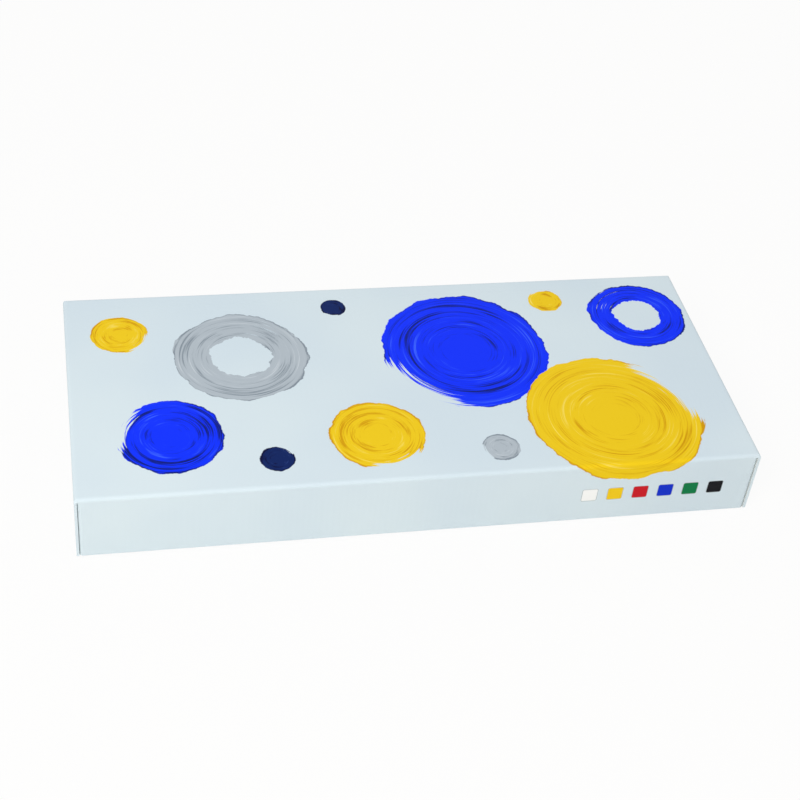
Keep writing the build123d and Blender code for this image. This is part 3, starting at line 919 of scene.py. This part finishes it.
def makeTube(number, metal):
    # Neck with its thread, shoulder, sleeve and tail. Each profile holds places along Y and radii.
    name, x, shape = sectionNames[number], tubeX[number], tubeShape
    front, neckEnd = tubeFront, tubeFront + shape["neckLength"]
    core = shape["neckRadius"] - shape["threadHeight"]
    mouth = front + shape["mouthDepth"]
    y = np.concatenate([
        [mouth, mouth, front + 0.0004, front, front, front + 0.0003],
        np.linspace(front + 0.0006, neckEnd - 0.0004, shape["neckRows"]),
        [neckEnd, neckEnd, neckEnd + 0.0004, sleeveFront - 0.0014, sleeveFront - 0.0004],
        [sleeveFront + 0.002, sleeveFront + 0.002],
    ])
    radius = np.concatenate([
        [0, 0.0022, 0.0024, 0.0028, core - 0.0003, core], np.full(shape["neckRows"], core),
        [core + 0.0003, core + 0.0014, core + 0.0026, tubeRadius - 0.0012, tubeRadius - 0.0003],
        [tubeRadius - 0.0006, 0],
    ])
    thread = threaded(front + 0.0004, neckEnd - 0.0006, shape["thread"], shape["threadHeight"])
    head = turned(x, tubeZ, y, radius, 64, 1, change=thread)
    addPiece("tube_body_" + name, [head, sleevePart(x), crimpPart(x)], [tubeLacquer(name), metal], "box",
             "tube_" + name, ["tube_" + name], smoothAngle=45, join=poleJoin)


def sleevePart(x):
    # The sleeve, round at the shoulder and flat at the tail. Round its oval of constant girth, s is the
    # length from the middle of the top. Folds gather towards the tail as cosines of s.
    shape = tubeShape
    girth = 2 * math.pi * tubeRadius
    s = np.linspace(-girth / 2, girth / 2, shape["columns"] + 1)
    y = np.concatenate([[sleeveFront - 0.0006, sleeveFront - 0.0004, sleeveFront],
                        np.linspace(sleeveFront + 0.0015, sleeveBack - 0.004, 52),
                        np.linspace(sleeveBack - 0.003, sleeveBack + 0.0006, 7)])
    sGrid, yGrid = np.meshgrid(s[:-1], y)
    flat, radius = sleeveOval(yGrid)
    share = np.clip((yGrid - sleeveFront) / (sleeveBack - sleeveFront), 0, 1)
    roll = smooth(yGrid, sleeveFront - 0.0006, sleeveFront)
    radius = radius - 0.0005 * (1 - roll)
    ripple = share ** 2 * (1 - share) * (1 + np.cos(sGrid * 760 + 9 * share)) * shape["rippleDepth"]
    ripple += share ** 6 * (1 + np.cos(sGrid * 1500)) * shape["fineRipple"]
    radius = np.maximum(radius - ripple, 0.0004)
    a = np.abs(sGrid)
    turn = np.clip((a - flat) / np.maximum(radius + ripple, 1e-6), 0, math.pi)
    beyond = np.clip(a - flat - math.pi * (radius + ripple), 0, None)
    out = np.minimum(a, flat) + radius * np.sin(turn) - beyond
    points = np.stack([x + np.sign(sGrid) * out, yGrid, tubeZ + radius * np.cos(turn)], -1)
    ends = np.stack([points[0], points[-1]])
    ends[..., 2] = tubeZ
    ends[0, :, 0] = x
    points = np.concatenate([ends[:1], points, ends[1:]])
    v = np.concatenate([y[:1], y, y[-1:]]) - sleeveFront
    return sheetPart(points, gridUv(s, v), flip=True)


def crimpPart(x):
    # The folded tail: a flat bar with round long edges, pinched along two lines
    reach = float(sleeveOval(sleeveBack)[0]) + tubeShape["crimpHalf"]
    length, count = tubeShape["crimpLength"], tubeShape["crimpColumns"]
    share = np.array([0, 0.02, 0.08, 0.16, 0.30, 0.36, 0.42, 0.60, 0.66, 0.72, 0.86, 0.95, 0.99, 1.0])
    half = np.array([0.0, 0.6, 0.92, 1.0, 1.0, 0.84, 1.0, 1.0, 0.84, 1.0, 1.0, 0.9, 0.55, 0.0])
    half = half * tubeShape["crimpHalf"]
    y = tubeBack - length + share * length
    across = np.concatenate([np.linspace(-1, 1, count), np.linspace(1, -1, count)[1:-1]])
    top = np.concatenate([np.ones(count), -np.ones(count - 2)])
    top[[0, count - 1]] = 0
    acrossGrid, yGrid = np.meshgrid(across * reach, y)
    points = np.stack([x + acrossGrid, yGrid, tubeZ + half[:, None] * top], -1)
    uv = gridUv(np.append(across, across[0]) * reach, y - sleeveFront)
    return sheetPart(points, uv, flip=True)


capShape = {
    "collar": 0.0026,         # length of the smooth collar at the open end
    "step": 0.0004,           # how far the grip stands back from the collar
    "nose": 0.0008,           # and how far it has tapered at its tip
    "groove": 0.0007,
    "ribColumns": 8,
}
# Radius and depth of the bore, and the count of ribs
capForms = {"tube": (0.0064, 0.0107, 16), "bottle": (0.00915, 0.0116, 20)}


def makeCap(name, node, form, material):
    # A screw cap: from the bottom of its bore, out over the rim, along its ribbed grip and over its tip.
    # Each rib stands out by a smooth step of the cosine of its angle.
    bore, depth, ribs = capForms[form]
    x, z, radius, tip, rear = barSpan(node)
    collar, floor = rear - capShape["collar"], rear - depth
    grip, nose = radius - capShape["step"], radius - capShape["nose"]
    y = [floor, floor, floor + 0.0004, rear - 0.0005, rear, rear, rear - 0.0004, collar + 0.0004, collar,
         collar - 0.0002, collar - 0.0012, *np.linspace(collar - 0.0024, tip + 0.0024, 9),
         tip + 0.0016, tip + 0.0008, tip + 0.0003, tip, tip]
    r = [0, bore - 0.0004, bore, bore, bore + 0.0005, radius - 0.0004, radius, radius, radius - 0.0003,
         grip, grip, *np.linspace(grip, nose, 9), nose - 0.0002, nose - 0.0007, nose - 0.0014,
         nose - 0.0024, 0]

    def ribbed(yGrid, turns, rings):
        # The grooves are cut only along the grip, and fade at its ends
        groove = smooth(np.cos(turns * ribs), 0.25, -0.75)
        fade = smooth(yGrid, collar - 0.0003, collar - 0.0016) * smooth(yGrid, tip + 0.0002, tip + 0.0018)
        return rings - groove * fade * capShape["groove"] * (rings > bore + 0.0008)

    cap = turned(x, z, y, r, ribs * capShape["ribColumns"], flip=True, change=ribbed)
    addPiece("cap_form_" + name, [cap], [material], "cap_" + name, "cap_plastic", [node], smoothAngle=45,
             join=poleJoin)


def makeLiner(name, node, material):
    # A foam disc: its radius swells from both faces to its middle, so the rims are round
    x, z, radius, front, back = barSpan(node)
    y = front + np.array([0, 0, 0.15, 0.5, 0.85, 1.0, 1.0]) * (back - front)
    r = radius * np.array([0, 0.95, 0.99, 1.0, 0.99, 0.95, 0])
    disc = turned(x, z, y, r, 40)
    addPiece("liner_form_" + name, [disc], [material], "liner_" + name, "liner_foam", [node], join=poleJoin)


bottle = {
    "neckRadius": 0.009,
    "neckLength": 0.0105,
    "shoulder": 0.008,
    "round": 0.003,
    "threadHeight": 0.0007,
    "neckRows": 40,
    "shoulderRows": 9,
    "bodyRows": 16,
    "columns": 88,
    "labelStart": 0.016,
    "labelEnd": 0.066,
    "white": paint(238, 239, 237),
    "cloud": paint(226, 229, 230),
    "label": paint(222, 228, 232),
    "band": paint(150, 166, 184),
    "dab": (0.0, 0.041, 0.0130, 0.0050, 0.2, ""),
    "stops": (0.34, 0.5, 0.5, 0.78),
}


def bottlePlastic():
    # White plastic with a pale label, a band along each edge of it, and one brushed ring
    g = Graph("bottle_plastic")
    across, along, _ = g.axes(g.sheet())
    cloud = g.noise(g.place(), 90.0, 2.0)
    start, end = bottle["labelStart"], bottle["labelEnd"]
    label = along.band(start, end, 0.0001)
    bands = along.band(start + 0.002, start + 0.006).most(along.band(end - 0.006, end - 0.002))
    cover, light = brushedDab(g, across, along, bottle["dab"], 5.7)
    colour = g.mix(cloud, bottle["white"], bottle["cloud"])
    colour = g.mix(label, colour, bottle["label"])
    colour = g.mix(bands, colour, bottle["band"])
    colour = g.mix(cover, colour, inkShade(g, light, dabColours["silver"], bottle["stops"]))
    step = label * 0.5 + cloud * 0.1
    return g.finish(colour, cloud * 0.08 + 0.3, step, height=0.0001, strength=0.6)


def makeBottle():
    # Neck with its thread, round shoulder, body and hollow base, as one turned profile
    front, back, r, bend = bottleFront, bottleBack, bottleRadius, bottle["round"]
    neckEnd = front + bottle["neckLength"]
    bodyFront = neckEnd + bottle["shoulder"]
    core = bottle["neckRadius"] - bottle["threadHeight"]
    turn = np.linspace(0, math.pi / 2, 9)[1:]
    along = np.linspace(0.1, 1, bottle["shoulderRows"])
    y = np.concatenate([
        [neckEnd - 0.001, neckEnd - 0.001, front + 0.0004, front, front, front + 0.0004],
        np.linspace(front + 0.0008, neckEnd - 0.0008, bottle["neckRows"]),
        [neckEnd - 0.0004, neckEnd, neckEnd + 0.0002],
        neckEnd + 0.0008 + (bodyFront - neckEnd - 0.0008) * along,
        np.linspace(bodyFront + 0.001, back - bend, bottle["bodyRows"]),
        back - bend + bend * np.sin(turn), [back, back - 0.0012, back - 0.0012],
    ])
    radius = np.concatenate([
        [0, core - 0.0016, core - 0.0016, core - 0.0012, core - 0.0004, core],
        np.full(bottle["neckRows"], core), [core, core + 0.0006, core + 0.0012],
        core + 0.0022 + (r - core - 0.0022) * np.sin(along * math.pi / 2) ** 0.9,
        np.full(bottle["bodyRows"], r),
        r - bend + bend * np.cos(turn), [r - bend - 0.003, r - bend - 0.0045, 0],
    ])
    thread = threaded(front + 0.0006, neckEnd - 0.0008, tubeShape["thread"], bottle["threadHeight"])
    points, faces, cornerUv, numbers = turned(bottleX, bottleZ, y, radius, bottle["columns"], change=thread)
    # The label lies on the body's top: across from there, and along Y from the body's front
    cornerUv = np.stack([cornerUv[..., 0] - math.pi / 2 * radius.max(),
                         points[faces][..., 1] - bodyFront], -1)
    addPiece("bottle_body", [(points, faces, cornerUv, numbers)], [bottlePlastic()], "box", "bottle_plastic",
             ["medium_bottle"], smoothAngle=40, join=poleJoin)


makeInsert()
print("insert made")
metal = aluminium()
plastic = capPlastic()
foam = linerFoam()
for number, colourName in enumerate(sectionNames):
    makeTube(number, metal)
    makeCap(colourName, "tube_cap_" + colourName, "tube", plastic)
    makeLiner(colourName, "cap_liner_" + colourName, foam)
makeBottle()
makeCap("bottle", "bottle_cap", "bottle", plastic)
makeLiner("bottle", "bottle_liner", foam)
print("tubes, bottle and caps made")


# Camera and light

view = {
    "eye": (-0.18276, -0.66773, 0.62059),
    "aim": (0.00064, 0.00295, 0.020),
    "roll": 6.907,
    "lens": 72.273,
}
studio = {
    "ambient": 0.56,
    "floor": (0.79, 0.77, 0.73),
    "floorWhite": 0.92,       # how much of the floor's own white the camera sees
    "floorReach": 6.0,
    # Each lamp's width, depth, place and power
    "key": (0.8, 0.8, (-0.75, -0.95, 1.1), 15.0),
    "fill": (1.2, 1.2, (1.3, -0.6, 1.2), 2.5),
    "rim": (1.0, 0.6, (0.2, 1.3, 0.9), 2.0),
}


def aimed(name, data, spot, aim, roll=0.0):
    # Puts a camera or lamp at a spot, looking at aim and turned by roll degrees about its line of sight.
    piece = bpy.data.objects.new(name, data)
    piece.location = spot
    piece.rotation_mode = "QUATERNION"
    sight = (Vector(aim) - Vector(spot)).to_track_quat("-Z", "Y")
    piece.rotation_quaternion = sight @ Quaternion((0, 0, 1), math.radians(roll))
    scene.collection.objects.link(piece)
    return piece


def makeCamera():
    camera = bpy.data.cameras.new("camera")
    camera.lens = view["lens"]
    camera.sensor_width = 36.0
    camera.clip_start = 0.02
    scene.camera = aimed("camera", camera, view["eye"], view["aim"], view["roll"])


def makeLamp(name):
    lamp = bpy.data.lights.new(name, "AREA")
    lamp.shape = "RECTANGLE"
    lamp.size, lamp.size_y, spot, lamp.energy = studio[name]
    aimed(name, lamp, spot, (0, 0, 0))


def makeWorld():
    # Even white light on the object, and plain white to the camera, to gloss and through clear things.
    world = bpy.data.worlds.new("studio")
    scene.world = world
    g = Graph("studio", world)
    seen = g.ray("Camera").most(g.ray("Glossy")).most(g.ray("Transmission"))
    even, plain = (g.add("Background", None, {"Color": (1.0, 1.0, 1.0), "Strength": strength})
                   for strength in (studio["ambient"], 1.0))
    g.add("OutputWorld", None, {"Surface": g.add("MixShader", None, {0: seen, 1: even, 2: plain})})


def makeFloor():
    # Pale floor whose own white shows to the camera, with the object's shadow kept on it.
    g = Graph("floor")
    diffuse = g.add("BsdfDiffuse", None, {"Color": studio["floor"]})
    white = g.add("Emission", None, {"Color": (1.0, 1.0, 1.0), "Strength": 1.0})
    mixed = g.add("MixShader", None, {0: g.ray("Camera") * studio["floorWhite"], 1: diffuse, 2: white})
    g.add("OutputMaterial", None, {"Surface": mixed})
    reach = studio["floorReach"]
    mesh = bpy.data.meshes.new("floor")
    mesh.from_pydata([(-reach, -reach, 0), (reach, -reach, 0), (reach, reach, 0), (-reach, reach, 0)], [],
                     [(0, 1, 2, 3)])
    mesh.materials.append(g.owner)
    floor = bpy.data.objects.new("floor", mesh)
    scene.collection.objects.link(floor)


makeCamera()
for lampName in ("key", "fill", "rim"):
    makeLamp(lampName)
makeWorld()
makeFloor()
print("camera and light set")
